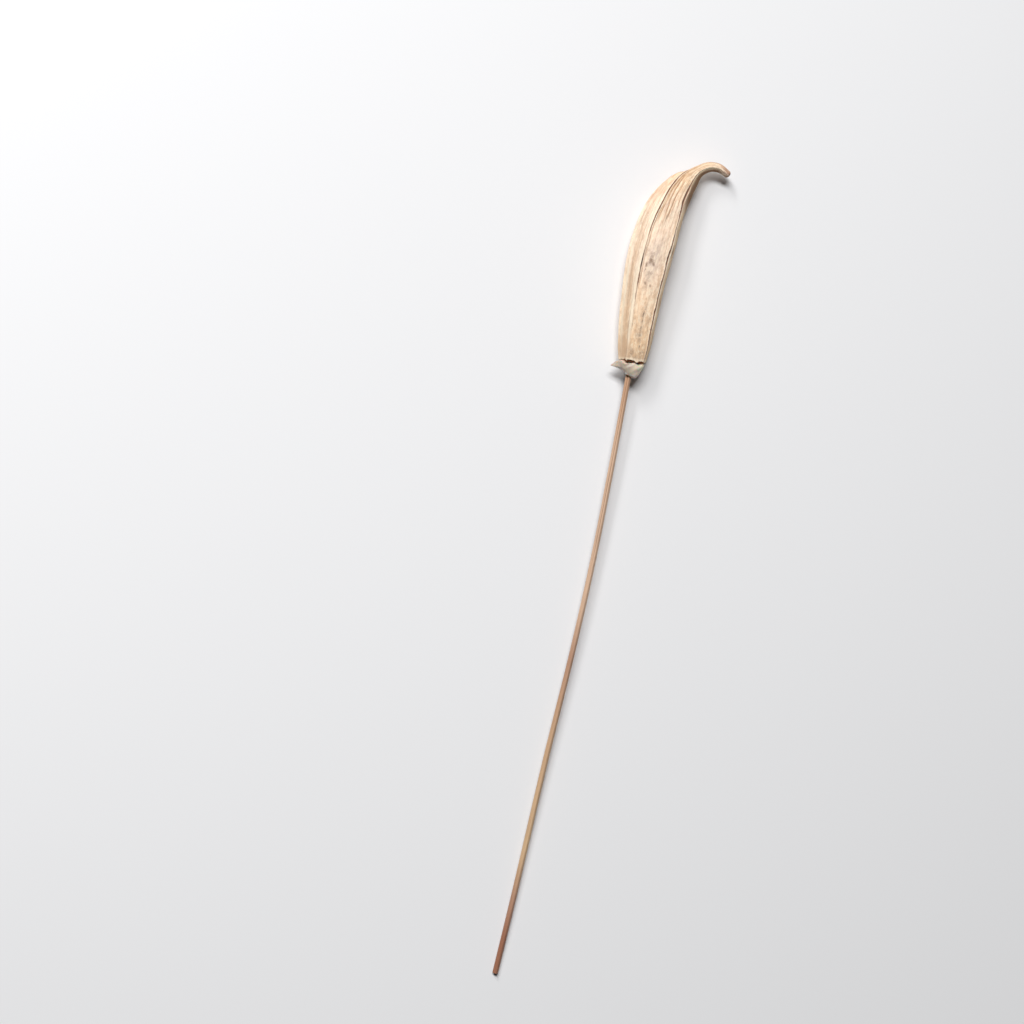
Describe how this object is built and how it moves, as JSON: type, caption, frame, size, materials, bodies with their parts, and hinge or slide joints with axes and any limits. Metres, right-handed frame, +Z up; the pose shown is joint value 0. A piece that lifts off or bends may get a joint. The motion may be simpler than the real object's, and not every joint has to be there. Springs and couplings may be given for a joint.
{
  "type": "okra pod",
  "caption": "Dried ridged okra pod with a hooked beak, glued on a long thin split bamboo stick as a stem for dry flower arrangements. It lies on its side on a surface.",
  "frame": {"origin": "on the surface that the object lies on, under the middle of its box", "axes": "+Y from the stick's cut end towards the pod, +X towards the side that the beak hooks to, +Z up"},
  "size_m": [0.1144, 0.3911, 0.0206],
  "materials": {
    "pod": "dry, matte, pinkish beige with cream ridges and grey-brown stains",
    "glue": "translucent set hot glue, satin",
    "stick": "split bamboo, fine fibres, satin"
  },
  "bodies": {
    "root": {"pod": "pod", "glue": "glue", "stick": "stick"}
  },
  "joints": []
}
